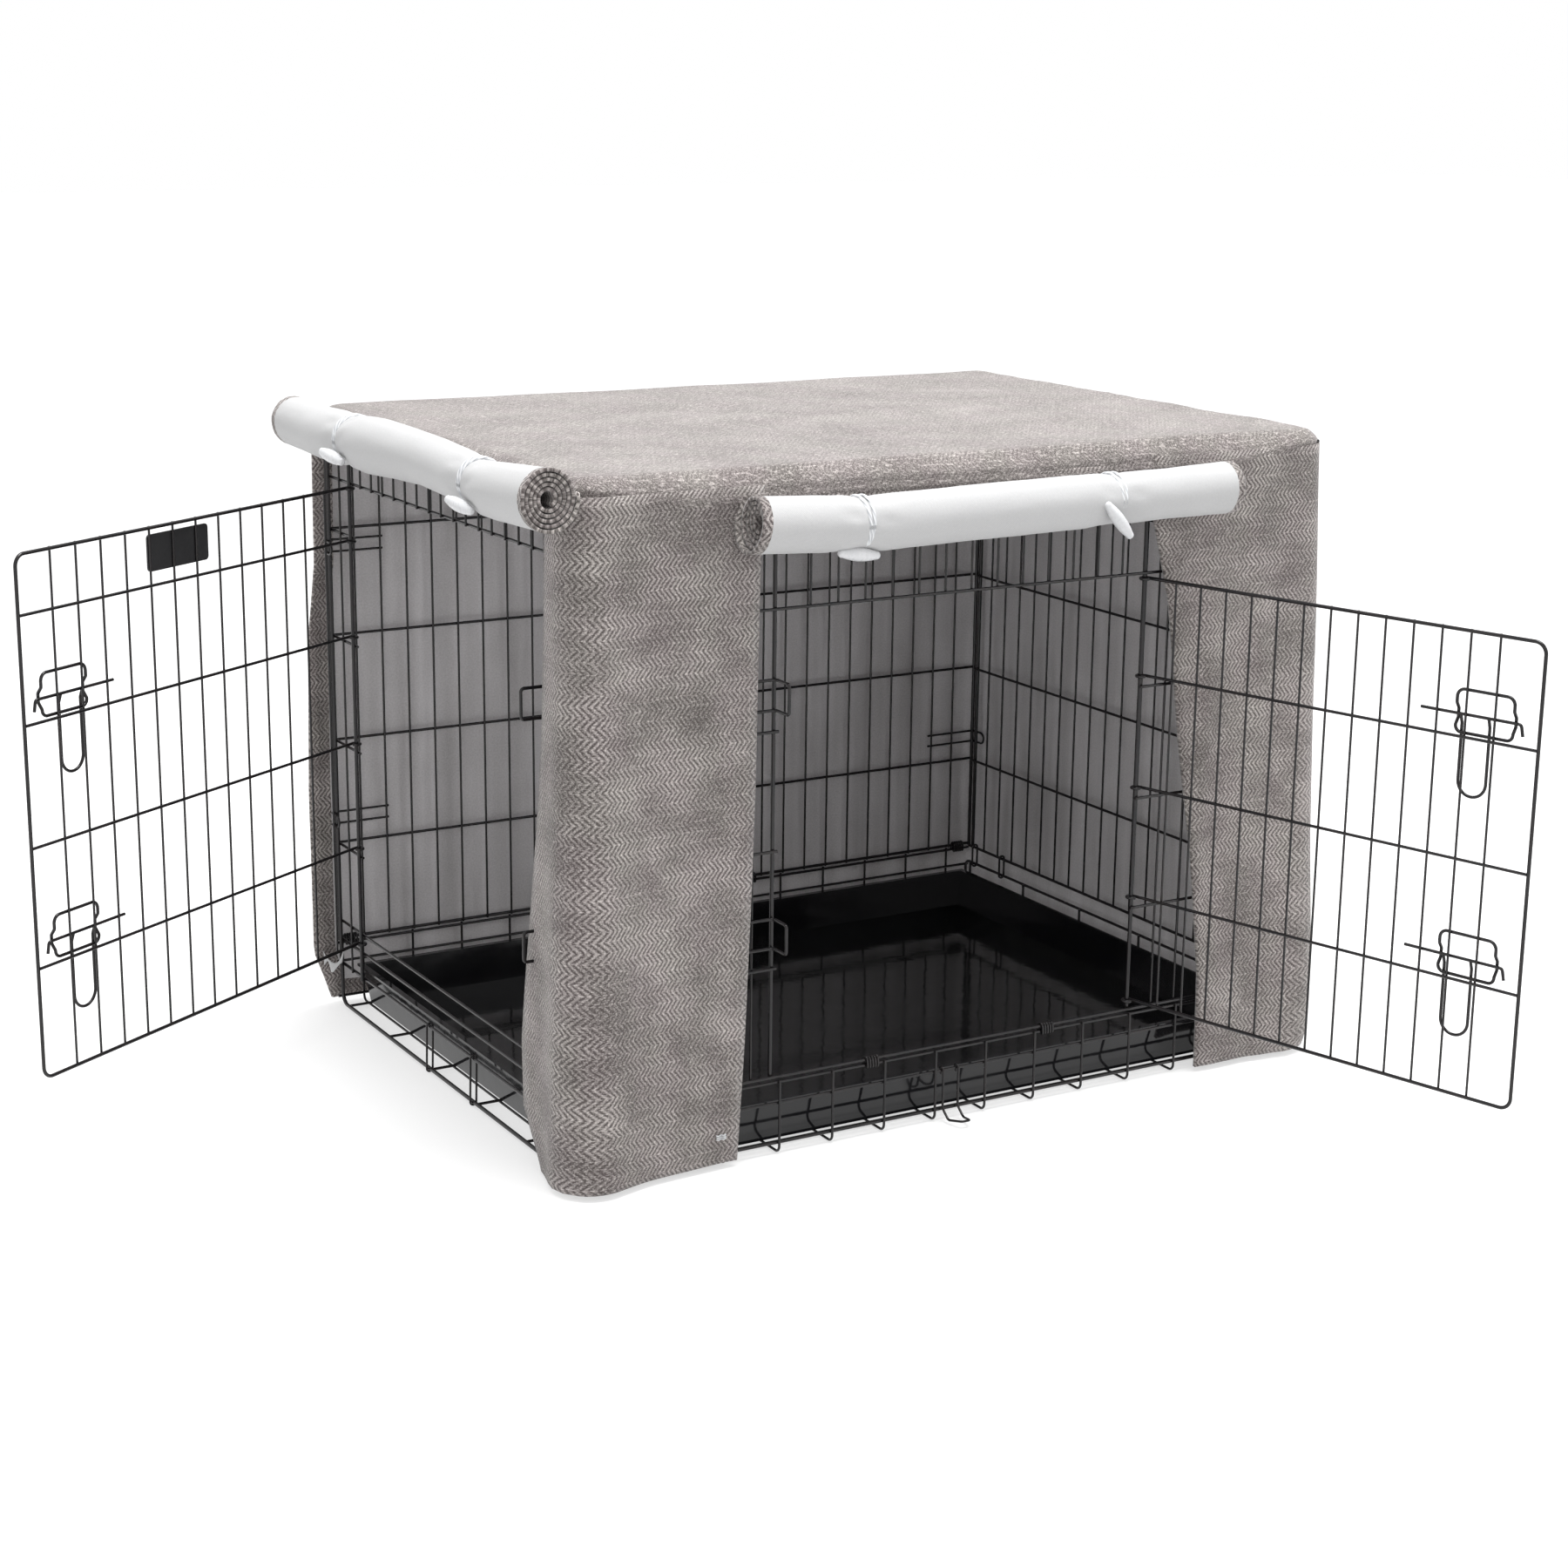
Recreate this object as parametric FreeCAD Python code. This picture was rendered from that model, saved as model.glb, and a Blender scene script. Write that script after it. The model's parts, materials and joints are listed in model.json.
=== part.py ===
import FreeCAD, Part

import math
import os

# Folding wire dog crate with two doors and a fitted fabric cover.
# Millimetres. +Z is up and z = 0 is the floor. The origin is the centre of the crate's footprint.
# The end door is in the -X end, the front door is in the -Y side. Both doors stand open.

# ---------------------------------------------------------------- driving dimensions
LENGTH = 610.0            # over the end posts, along X
DEPTH_PLANE = 220.5       # half distance between the wire planes of the front and back panels
END_PLANE = 302.0         # half distance between the wire planes of the two end panels

POST = 3.0                # corner, hinge and latch uprights
UPRIGHT = 1.7             # grille uprights
RAIL = 2.2                # grille rows
HEAVY_RAIL = 2.5          # top and bottom rail of a panel
DOOR_RIM = 2.6            # wire round a door
CROSS_WIRE = 1.9          # wires that run under the floor from front to back
LATCH_RING = 2.3
LATCH_WIRE = 2.2
HOOK_WIRE = 1.8
WELD = 0.1                # how far two welded wires sink into each other

PANEL_GAPS = 28           # upright spacings on a long panel
END_GAPS = 20             # upright spacings on an end panel
LONG_HALF = LENGTH / 2 - POST / 2
END_HALF = 215.2          # end panel's corner posts, between the long panels
FOLD_HALF = 212.6         # the far end's posts, which fold in past the front door's hinge eyes
PITCH = 2 * LONG_HALF / PANEL_GAPS
END_PITCH = 2 * END_HALF / END_GAPS

BOTTOM_RAIL = 57.0
ROWS = [136.5, 220.5, 304.5, 388.5]
TOP_RAIL = 475.0
END_TOP_RAIL = 474.0

# base
BASE_TOP_RAIL = 53.0
BASE_MID_RAIL = 37.5
BASE_LOW_RAIL = 8.0
FLOOR_RUNS = [-208.5, -125.1, -41.7, 41.7, 125.1, 208.5]
UPSTAND_RAIL = 42.0
CROSS_BEND = 5.0

# front doorway and door
FRONT_LATCH_POST = -157.5
FRONT_HINGE = 151.5
FRONT_WIDTH = 320.5
FRONT_BOTTOM, FRONT_TOP = 63.0, 384.0
FRONT_OPEN = 105.6        # degrees from closed, as it stands
# end doorway and door
END_LATCH_POST = -171.6
END_HINGE = 171.5
END_WIDTH = 352.0
END_BOTTOM, END_TOP = 66.0, 426.4
END_OPEN = 58.7
END_SILL, END_MID_SILL, END_LOW_RAIL = 72.5, 57.0, 36.5
END_LINTEL = 429.6

DOOR_ROWS = [144.0, 228.0, 312.0]
END_DOOR_ROWS = DOOR_ROWS + [386.0]
FREE_GAP = 34.4           # wide gap beside a door's free edge, for the keepers
DOOR_UPRIGHTS = 13
EYE_CLEARANCE = 0.35

# latches, measured from a door's free edge and up from the row that carries them
LATCH_ROWS = {"lower": 144.0, "upper": 312.0}
RING_NEAR, RING_FAR = 21.5, 64.5
RING_LOW, RING_HIGH = 2.0, 31.5
BAR_HEIGHT = 14.5
BAR_FAR_END, BAR_NEAR_END = 91.6, 18.8
HOOK_REACH, HOOK_DROP = 14.5, 8.0
HANDLE_NEAR, HANDLE_FAR = 40.2, 61.2
HANDLE_LENGTH = 56.0
KEEPER_LOW, KEEPER_HIGH = 7.4, 28.5
KEEPER_REACH = 19.2

# cover
CLOTH = 2.5
COVER_X, COVER_Y = 310.2, 227.7
COVER_TOP = 483.8
HEM = 2.5
CORNER_STRIP_EDGE = -173.4
FRONT_STRIP_EDGE = [(150.5, 432.0), (168.0, 386.0), (180.0, 269.0),
                    (195.0, 184.0), (208.0, 80.0), (209.0, 2.5)]
END_STRIP_EDGE = -186.0
BACK_HEM_OVERHANG = 10.0
END_ROLL_AT, END_ROLL_Z, END_ROLL_R = -332.0, 476.0, 19.6
END_ROLL_SPAN = (-235.5, 208.0)
END_LOOPS = (-134.0, 83.0)
FRONT_ROLL_AT, FRONT_ROLL_Z, FRONT_ROLL_R = -247.4, 450.5, 17.8
FRONT_ROLL_SPAN = (-186.0, 203.0)
FRONT_LOOPS = (-110.0, 96.0)
PINCH = 3.0               # how much a loop squeezes a roll's radius
PINCH_HALF = 40.0
LOOP_WIRE = 2.6
TOGGLE_LENGTH, TOGGLE_R = 32.0, 4.6
BACK_HEM_TOP = 452.0      # the back's end hem stops here, under the end roll

# ---------------------------------------------------------------- helpers
os.makedirs("parts", exist_ok=True)
V = FreeCAD.Vector


def save(name, solids):
    Part.Compound(list(solids)).exportStep("parts/" + name + ".step")


def rod(p, q, d):
    """A straight wire."""
    return Part.makeCylinder(d / 2, (q - p).Length, p, q - p)


def path_edges(points, radius):
    """Straight runs joined by tangent arcs. radius is one value or one per inner point."""
    inner = points[1:-1]
    radii = radius if isinstance(radius, list) else [radius] * len(inner)
    edges, here = [], points[0]
    for before, corner, after, r in zip(points, inner, points[2:], radii):
        a, b = (before - corner).normalize(), (after - corner).normalize()
        half = a.getAngle(b) / 2
        back = r / math.tan(half)
        middle = (a + b).normalize()
        start, end = corner + a * back, corner + b * back
        top = corner + middle * (r / math.sin(half) - r)
        if (start - here).Length > 1e-6:
            edges.append(Part.LineSegment(here, start).toShape())
        edges.append(Part.Arc(start, top, end).toShape())
        here = end
    if (points[-1] - here).Length > 1e-6:
        edges.append(Part.LineSegment(here, points[-1]).toShape())
    return edges


def swept(edges, d):
    """A round wire along joined edges."""
    wire = Part.Wire(edges)
    first = wire.OrderedEdges[0]
    start = first.valueAt(first.FirstParameter)
    way = first.tangentAt(first.FirstParameter)
    if first.Orientation == "Reversed":
        start, way = first.valueAt(first.LastParameter), first.tangentAt(first.LastParameter) * -1
    disc = Part.Face(Part.Wire(Part.Circle(start, way, d / 2).toShape()))
    solid = wire.makePipe(disc)
    expected = wire.Length * math.pi * d * d / 4
    if abs(abs(solid.Volume) / expected - 1) > 0.02:
        print("check sweep", round(solid.Volume, 1), round(expected, 1))
    return solid


def bent(points, d, radius):
    return swept(path_edges(points, radius), d)


def block(low, high):
    return Part.makeBox(high[0] - low[0], high[1] - low[1], high[2] - low[2], V(*low))


# ---------------------------------------------------------------- places on the four walls
# u runs along the wall, n outwards from the plane where its uprights and rails touch.
def front(u, n, z):
    return V(u, -DEPTH_PLANE - n, z)


def back(u, n, z):
    return V(u, DEPTH_PLANE + n, z)


def left(u, n, z):
    return V(-END_PLANE - n, u, z)


def right(u, n, z):
    return V(END_PLANE + n, u, z)


def beside(d, side):
    """Distance from the weld plane to the axis of a wire on that side of it."""
    return side * (d / 2 - WELD / 2)


def upright(wall, u, z0, z1, d, side):
    n = beside(d, side)
    return rod(wall(u, n, z0), wall(u, n, z1), d)


def rail(wall, z, u0, u1, d, side):
    n = beside(d, side)
    return rod(wall(u0, n, z), wall(u1, n, z), d)


NUB = 1.0                 # how far a wire's end stands past the wire it is welded to
RAIL_END = LONG_HALF + NUB
END_RAIL_END = END_HALF + POST / 2 + 0.1


def long_grid():
    return [-LONG_HALF + PITCH * k for k in range(1, PANEL_GAPS)]


def end_grid():
    return [-END_HALF + END_PITCH * k for k in range(1, END_GAPS)]


# ---------------------------------------------------------------- base
def base_rails():
    out = []
    for wall in (front, back):
        for z in (BASE_LOW_RAIL, BASE_MID_RAIL, BASE_TOP_RAIL):
            out.append(rail(wall, z, -RAIL_END, RAIL_END, RAIL, 1))
    return out


def cross_wire_places():
    return [-LONG_HALF + PITCH * (2 * k + 1) for k in range(PANEL_GAPS // 2)]


CROSS_N = RAIL - WELD / 2 + CROSS_WIRE / 2 - WELD


def base_cross_wires():
    z_top = BASE_TOP_RAIL + RAIL / 2 + 0.4
    z = CROSS_WIRE / 2
    out = []
    for u in cross_wire_places():
        ends = [front(u, CROSS_N, z_top), front(u, CROSS_N, z), back(u, CROSS_N, z), back(u, CROSS_N, z_top)]
        out.append(bent(ends, CROSS_WIRE, CROSS_BEND))
    return out


FLOOR_Z = CROSS_WIRE + RAIL / 2 - WELD
END_RAIL_X = -END_PLANE + 0.5
END_RAIL_Z = 3.3
UPSTAND_X = END_PLANE - beside(HEAVY_RAIL, 1)


def base_floor_wires():
    """Long wires that rest on the cross wires and turn up at the far end."""
    start = END_RAIL_X + POST / 2 - WELD
    turn = UPSTAND_X - HEAVY_RAIL / 2 - RAIL / 2 + WELD
    out = []
    for y in FLOOR_RUNS:
        route = [V(start, y, FLOOR_Z), V(turn, y, FLOOR_Z), V(turn, y, UPSTAND_RAIL + NUB)]
        out.append(bent(route, RAIL, 6.0))
    return out


def base_end_rail():
    """Heavy wire low down under the end door, turned up at both corners."""
    y = DEPTH_PLANE - POST / 2 + WELD / 2
    top = BASE_TOP_RAIL + RAIL / 2 + 0.4
    x, z = END_RAIL_X, END_RAIL_Z
    return [bent([V(x, -y, top), V(x, -y, z), V(x, y, z), V(x, y, top)], POST, 9.0)]


def base_upstand_rail():
    """Rail along the far end that the end panel is linked to, turned down at both corners."""
    y = DEPTH_PLANE - beside(HEAVY_RAIL, 1)
    low = BASE_LOW_RAIL - NUB
    x, z = UPSTAND_X, UPSTAND_RAIL
    return [bent([V(x, -y, low), V(x, -y, z), V(x, y, z), V(x, y, low)], HEAVY_RAIL, 6.0)]


def oblong(y, x0, z0, x1, z1, inner, d):
    """A closed loop of wire round two rails that run along Y, one above the other."""
    r = inner + d / 2
    low, high = V(x0, y, z0), V(x1, y, z1)
    way = (high - low).normalize()
    side = V(0, 1, 0).cross(way)
    edges = [
        Part.LineSegment(low + side * r, high + side * r).toShape(),
        Part.Arc(high + side * r, high + way * r, high - side * r).toShape(),
        Part.LineSegment(high - side * r, low - side * r).toShape(),
        Part.Arc(low - side * r, low - way * r, low + side * r).toShape(),
    ]
    return swept(edges, d)


LINK_WIRE = 1.8
LINKS_AT = (-205.0, -162.5, 162.5, 205.0)


def right_end_links():
    inner = HEAVY_RAIL / 2 + 0.35
    return [oblong(y, UPSTAND_X, UPSTAND_RAIL, UPSTAND_X, BOTTOM_RAIL, inner, LINK_WIRE) for y in LINKS_AT]


STRAPS_AT = (-36.0, 44.0)
STRAP_WIRE = 1.6


def left_end_straps():
    """Wire loops from the end panel's lowest rail to the base's end rail."""
    inner = POST / 2 + 0.1
    rail_x = -END_PLANE - beside(HEAVY_RAIL, -1)
    return [oblong(y, END_RAIL_X, END_RAIL_Z, rail_x, END_LOW_RAIL, inner, STRAP_WIRE) for y in STRAPS_AT]


CLIP_LENGTH, CLIP_THICK = 12.0, 0.9
BASE_CLIPS_AT = (-13.5 * PITCH, -3.5 * PITCH, 3.5 * PITCH, 13.5 * PITCH)
TOP_CLIPS_AT = (-11.5 * PITCH, -3.5 * PITCH, 3.5 * PITCH, 11.5 * PITCH)


def clip(u, y0, z0, y1, z1, inner):
    """A sheet clip rolled round two parallel rails that run along X."""
    low, high = V(u - CLIP_LENGTH / 2, y0, z0), V(u - CLIP_LENGTH / 2, y1, z1)
    way = (high - low).normalize()
    side = V(1, 0, 0).cross(way)

    def outline(r):
        edges = [
            Part.LineSegment(low + side * r, high + side * r).toShape(),
            Part.Arc(high + side * r, high + way * r, high - side * r).toShape(),
            Part.LineSegment(high - side * r, low - side * r).toShape(),
            Part.Arc(low - side * r, low - way * r, low + side * r).toShape(),
        ]
        return Part.Face(Part.Wire(edges))

    band = outline(inner + CLIP_THICK).cut(outline(inner))
    return band.extrude(V(CLIP_LENGTH, 0, 0))


def base_hinge_clips():
    out = []
    for side in (-1, 1):
        y = side * (DEPTH_PLANE + beside(HEAVY_RAIL, 1))
        for u in BASE_CLIPS_AT:
            out.append(clip(u, y, BASE_TOP_RAIL, y, BOTTOM_RAIL, HEAVY_RAIL / 2 + 0.1))
    return out


# ---------------------------------------------------------------- fixed panels
def front_panel():
    wall = front
    latch, hinge = FRONT_LATCH_POST, FRONT_HINGE
    low, high = BOTTOM_RAIL - NUB, TOP_RAIL + NUB
    lintel = ROWS[-1]
    out = [upright(wall, u, low, high, POST, -1) for u in (-LONG_HALF, latch, hinge, LONG_HALF)]
    for u in long_grid():
        if min(abs(u - latch), abs(u - hinge)) < 8:
            continue
        start = lintel - NUB if latch < u < hinge else low
        out.append(upright(wall, u, start, high, UPRIGHT, -1))
    for z in (BOTTOM_RAIL, TOP_RAIL):
        out.append(rail(wall, z, -RAIL_END, RAIL_END, HEAVY_RAIL, 1))
    out.append(rail(wall, lintel, -RAIL_END, RAIL_END, RAIL, 1))
    for z in ROWS[:-1]:
        out.append(rail(wall, z, -RAIL_END, latch + 2.5, RAIL, 1))
        out.append(rail(wall, z, hinge - 2.5, RAIL_END, RAIL, 1))
    return out


def back_panel():
    low, high = BOTTOM_RAIL - NUB, TOP_RAIL + NUB
    out = [upright(back, u, low, high, POST, -1) for u in (-LONG_HALF, LONG_HALF)]
    out += [upright(back, u, low, high, UPRIGHT, -1) for u in long_grid()]
    out += [rail(back, z, -RAIL_END, RAIL_END, HEAVY_RAIL, 1) for z in (BOTTOM_RAIL, TOP_RAIL)]
    out += [rail(back, z, -RAIL_END, RAIL_END, RAIL, 1) for z in ROWS]
    return out


def left_end_panel():
    wall = left
    latch, hinge = END_LATCH_POST, END_HINGE
    low, high = END_LOW_RAIL - NUB, END_TOP_RAIL + NUB
    out = [upright(wall, u, low, high, POST, 1) for u in (-END_HALF, latch, hinge, END_HALF)]
    for u in end_grid():
        if min(abs(u - latch), abs(u - hinge)) < 8:
            continue
        start = END_LINTEL - NUB if latch < u < hinge else low
        out.append(upright(wall, u, start, high, UPRIGHT, 1))
    for z in (END_LOW_RAIL, END_MID_SILL, END_TOP_RAIL):
        out.append(rail(wall, z, -END_RAIL_END, END_RAIL_END, HEAVY_RAIL, -1))
    for z in (END_SILL, END_LINTEL):
        out.append(rail(wall, z, -END_RAIL_END, END_RAIL_END, RAIL, -1))
    for z in ROWS:
        out.append(rail(wall, z, -END_RAIL_END, latch + 2.5, RAIL, -1))
        out.append(rail(wall, z, hinge - 2.5, END_RAIL_END, RAIL, -1))
    return out


def right_end_panel():
    wall = right
    low, high = BOTTOM_RAIL - NUB, END_TOP_RAIL + NUB
    reach = FOLD_HALF + POST / 2 + 0.1
    out = [upright(wall, u, low, high, POST, 1) for u in (-FOLD_HALF, FOLD_HALF)]
    out += [upright(wall, u, low, high, UPRIGHT, 1) for u in end_grid()]
    out += [rail(wall, z, -reach, reach, HEAVY_RAIL, -1) for z in (BOTTOM_RAIL, END_TOP_RAIL)]
    out += [rail(wall, z, -reach, reach, RAIL, -1) for z in ROWS]
    return out


TOP_PANEL_RAIL = 478.0
TOP_HALF = 214.0


def top_panel():
    x_end = LONG_HALF - 0.5
    z = TOP_PANEL_RAIL
    rails_at = [TOP_HALF * k / 2 for k in (-2, -1, 0, 1, 2)]
    out = [rod(V(-x_end, y, z), V(x_end, y, z), HEAVY_RAIL) for y in rails_at]
    z += HEAVY_RAIL / 2 + UPRIGHT / 2 - WELD
    reach = TOP_HALF + HEAVY_RAIL / 2 + 0.3
    steps = PANEL_GAPS // 2
    places = [-x_end + NUB + (2 * x_end - 2 * NUB) * k / steps for k in range(steps + 1)]
    out += [rod(V(x, -reach, z), V(x, reach, z), UPRIGHT) for x in places]
    return out


def top_hinge_clips():
    out = []
    for side in (-1, 1):
        y = side * (DEPTH_PLANE + beside(HEAVY_RAIL, 1))
        for u in TOP_CLIPS_AT:
            out.append(clip(u, y, TOP_RAIL, side * TOP_HALF, TOP_PANEL_RAIL, HEAVY_RAIL / 2 + 0.1))
    return out


def corner_hooks(wall, side):
    """Hairpins on a long panel that reach round the end panels' corner posts."""
    n = HOOK_WIRE / 2 - WELD / 2
    half = 4.7
    out = []
    x_out = LENGTH / 2 + 0.35 + HOOK_WIRE / 2
    inward = -side * V(0, 1, 0)
    for end in (-1, 1):
        for z in (157.0, 375.0):
            tail = end * (LONG_HALF - 2 * PITCH - 2.5)
            corner = wall(end * x_out, n, 0)
            tip = corner + inward * 12.0
            upper = path_edges([
                wall(tail, n, z + half), corner + V(0, 0, z + half), tip + V(0, 0, z + half)], 3.0)
            turn = Part.Arc(
                tip + V(0, 0, z + half), tip + inward * half + V(0, 0, z), tip + V(0, 0, z - half)).toShape()
            lower = path_edges([
                tip + V(0, 0, z - half), corner + V(0, 0, z - half), wall(tail, n, z - half)], 3.0)
            out.append(swept(upper + [turn] + lower, HOOK_WIRE))
    return out


def keeper(wall, post, tail, leg_n, z_row):
    """A staple that stands out of the panel beside the latch post, for the bolt to pass through."""
    z0, z1 = z_row + KEEPER_LOW, z_row + KEEPER_HIGH
    reach = KEEPER_REACH
    points = [wall(tail, leg_n, z0), wall(post, leg_n, z0), wall(post, reach, z0),
              wall(post, reach, z1), wall(post, leg_n, z1), wall(tail, leg_n, z1)]
    return bent(points, LATCH_RING, 2.6)


def front_keepers():
    n = beside(LATCH_RING, 1)
    tail = FRONT_LATCH_POST - 2 * PITCH + 8
    return [keeper(front, FRONT_LATCH_POST, tail, n, z) for z in LATCH_ROWS.values()]


def end_keepers():
    n = beside(LATCH_RING, -1)
    post = END_LATCH_POST + POST / 2 + LATCH_RING / 2 - WELD
    return [keeper(left, post, END_LATCH_POST - 1.2 * END_PITCH, n, z) for z in LATCH_ROWS.values()]


LOCK_HOOK_AT = -8.7


def fold_lock_hook():
    """Hairpin hook that hangs from the base's middle front rail and ends in a turned-up foot."""
    y0 = -DEPTH_PLANE - beside(RAIL, 1)
    r = RAIL / 2 + 0.35 + HOOK_WIRE / 2
    half = 6.5

    def eye(x):
        top = V(x, y0, BASE_MID_RAIL)
        behind = top + V(0, r * math.sin(2.2), -r * math.cos(2.2))
        return Part.Arc(top + V(0, 0, -r), behind, top + V(0, -r, 0)).toShape()

    def leg(x):
        y = y0 - r
        return [V(x, y, BASE_MID_RAIL), V(x, y, 9.0), V(x, y - 8.0, 2.6)]

    x0, x1, y1 = LOCK_HOOK_AT - half, LOCK_HOOK_AT + half, y0 - r - 21.0
    foot = [V(x0 + 3.2, y1, 5.2), V(x1 - 3.2, y1, 5.2)]
    route = leg(x0) + foot + leg(x1)[::-1]
    edges = [eye(x0)] + path_edges(route, [6.0, 4.0, 2.4, 2.4, 4.0, 6.0]) + [eye(x1)]
    return [swept(edges, HOOK_WIRE)]


# ---------------------------------------------------------------- tray
TRAY_X0, TRAY_X1, TRAY_Y = -291.0, 293.0, 213.5
TRAY_TOP, TRAY_THICK = 36.0, 1.8
TRAY_Z = FLOOR_Z + RAIL / 2 + 0.3
TRAY_LEAN = 5.0


def tray():
    """Pan with leaning walls and a narrow turned-out rim."""
    def layer(inset, z):
        x0, x1, y = TRAY_X0 + inset, TRAY_X1 - inset, TRAY_Y - inset
        return Part.makePolygon([V(x0, -y, z), V(x1, -y, z), V(x1, y, z), V(x0, y, z), V(x0, -y, z)])

    rim = 3.0
    outer = Part.makeLoft([layer(rim + TRAY_LEAN, TRAY_Z), layer(rim, TRAY_TOP)], True, True)
    cut = TRAY_THICK
    inner = Part.makeLoft(
        [layer(rim + TRAY_LEAN + cut, TRAY_Z + cut), layer(rim + cut, TRAY_TOP + 0.01)], True, True)
    lip = block((TRAY_X0, -TRAY_Y, TRAY_TOP - cut), (TRAY_X1, TRAY_Y, TRAY_TOP))
    return [outer.fuse(lip).cut(inner).removeSplitter()]


# ---------------------------------------------------------------- doors
RIM_OFFSET = POST / 2 + EYE_CLEARANCE + DOOR_RIM / 2
DOOR_FACE = RIM_OFFSET + DOOR_RIM / 2
ROW_OFFSET = DOOR_FACE - RAIL / 2
UPRIGHT_OFFSET = DOOR_FACE + UPRIGHT / 2 - WELD
OUTER_FACE = UPRIGHT_OFFSET + UPRIGHT / 2
RING_OFFSET = OUTER_FACE + LATCH_RING / 2 - WELD
BAR_OFFSET = OUTER_FACE + 0.35 + LATCH_WIRE / 2
RING_BULGE = BAR_OFFSET + LATCH_WIRE / 2 + 0.4 + LATCH_RING / 2
HANDLE_OFFSET = RING_OFFSET + LATCH_RING / 2 + 0.4 + LATCH_WIRE / 2
HANDLE_FIT = 0.06         # running clearance of a handle's ends round the bar


class Door:
    """A door's own places: s from its hinge axis to its free edge, n outwards, z up."""

    def __init__(self, axis, along, out, width, bottom, top, rows):
        self.axis, self.along, self.out = axis, along, out
        self.width, self.bottom, self.top, self.rows = width, bottom, top, rows

    def at(self, s, n, z):
        return self.axis + self.along * s + self.out * n + V(0, 0, z)

    def eye(self, r, z):
        """Three quarters of a turn of wire round the hinge post, ready to run on along the door."""
        slant = math.sqrt(0.5) * r
        return Part.Arc(self.at(r, 0, z), self.at(-slant, -slant, z), self.at(0, r, z)).toShape()

    def grille(self):
        w, n = self.width, RIM_OFFSET
        rim = path_edges([self.at(0, n, self.top), self.at(w, n, self.top),
                          self.at(w, n, self.bottom), self.at(0, n, self.bottom)], 8.0)
        out = [swept([self.eye(n, self.top)] + rim + [self.eye(n, self.bottom)], DOOR_RIM)]
        for z in self.rows:
            end = self.at(w - DOOR_RIM / 2 + WELD, ROW_OFFSET, z)
            run = Part.LineSegment(self.at(0, ROW_OFFSET, z), end).toShape()
            out.append(swept([self.eye(ROW_OFFSET, z), run], RAIL))
        first = 24.0
        step = (w - FREE_GAP - first) / (DOOR_UPRIGHTS - 1)
        for k in range(DOOR_UPRIGHTS):
            s = first + step * k
            out.append(rod(self.at(s, UPRIGHT_OFFSET, self.bottom - NUB),
                           self.at(s, UPRIGHT_OFFSET, self.top + NUB), UPRIGHT))
        return out

    def ring(self, row):
        """Closed guide wire whose two sides stand out over the bolt bar."""
        w = self.width
        bar = row + BAR_HEIGHT

        def side(s):
            return [self.at(s, RING_OFFSET, bar + 7.5), self.at(s, RING_BULGE, bar + 3.2),
                    self.at(s, RING_BULGE, bar - 3.2), self.at(s, RING_OFFSET, bar - 7.5)]

        near, far = w - RING_NEAR, w - RING_FAR
        low, high = row + RING_LOW, row + RING_HIGH
        middle = (near + far) / 2
        points = [self.at(middle, RING_OFFSET, low), self.at(far, RING_OFFSET, low)]
        points += side(far)[::-1]
        points += [self.at(far, RING_OFFSET, high), self.at(near, RING_OFFSET, high)]
        points += side(near)
        points += [self.at(near, RING_OFFSET, low), self.at(middle, RING_OFFSET, low)]
        radii = [4.5, 2.0, 2.0, 2.0, 2.0, 5.5, 5.5, 2.0, 2.0, 2.0, 2.0, 4.5]
        return [bent(points, LATCH_RING, radii)]

    def bar(self, row):
        w, z = self.width, row + BAR_HEIGHT
        return [rod(self.at(w - BAR_FAR_END, BAR_OFFSET, z), self.at(w - BAR_NEAR_END, BAR_OFFSET, z), LATCH_WIRE)]

    def handle(self, row):
        """Bail handle and the bolt's turned-down end, which lift about the bar."""
        w, z = self.width, row + BAR_HEIGHT
        n0, n1 = BAR_OFFSET, HANDLE_OFFSET
        near, far = w - HANDLE_NEAR, w - HANDLE_FAR
        foot = z - HANDLE_LENGTH
        bail = bent([self.at(far, n0, z), self.at(far, n1, z - 6.5), self.at(far, n1, foot),
                     self.at(near, n1, foot), self.at(near, n1, z - 6.5), self.at(near, n0, z)],
                    LATCH_WIRE, [3.0, 10.4, 10.4, 3.0])
        clear = Part.makeCylinder(LATCH_WIRE / 2 + HANDLE_FIT, 60.0, self.at(far - 20, n0, z), self.along)
        start = w - BAR_NEAR_END + 0.08
        hook = bent([self.at(start, n0, z), self.at(start + 2.6, n0, z),
                     self.at(w - HOOK_REACH, n0, z - HOOK_DROP)], LATCH_WIRE, 2.4)
        return [bail.cut(clear), hook]


def front_door():
    turn = math.radians(FRONT_OPEN)
    return Door(V(FRONT_HINGE, -DEPTH_PLANE - beside(POST, -1), 0),
                V(-math.cos(turn), -math.sin(turn), 0), V(math.sin(turn), -math.cos(turn), 0),
                FRONT_WIDTH, FRONT_BOTTOM, FRONT_TOP, DOOR_ROWS)


def end_door():
    turn = math.radians(END_OPEN)
    return Door(V(-END_PLANE - beside(POST, 1), END_HINGE, 0),
                V(-math.sin(turn), -math.cos(turn), 0), V(-math.cos(turn), math.sin(turn), 0),
                END_WIDTH, END_BOTTOM, END_TOP, END_DOOR_ROWS)


PLATE_FROM_EDGE = (131.0, 195.0)
PLATE_Z = (395.0, 421.0)
PLATE_THICK = 1.2


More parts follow.
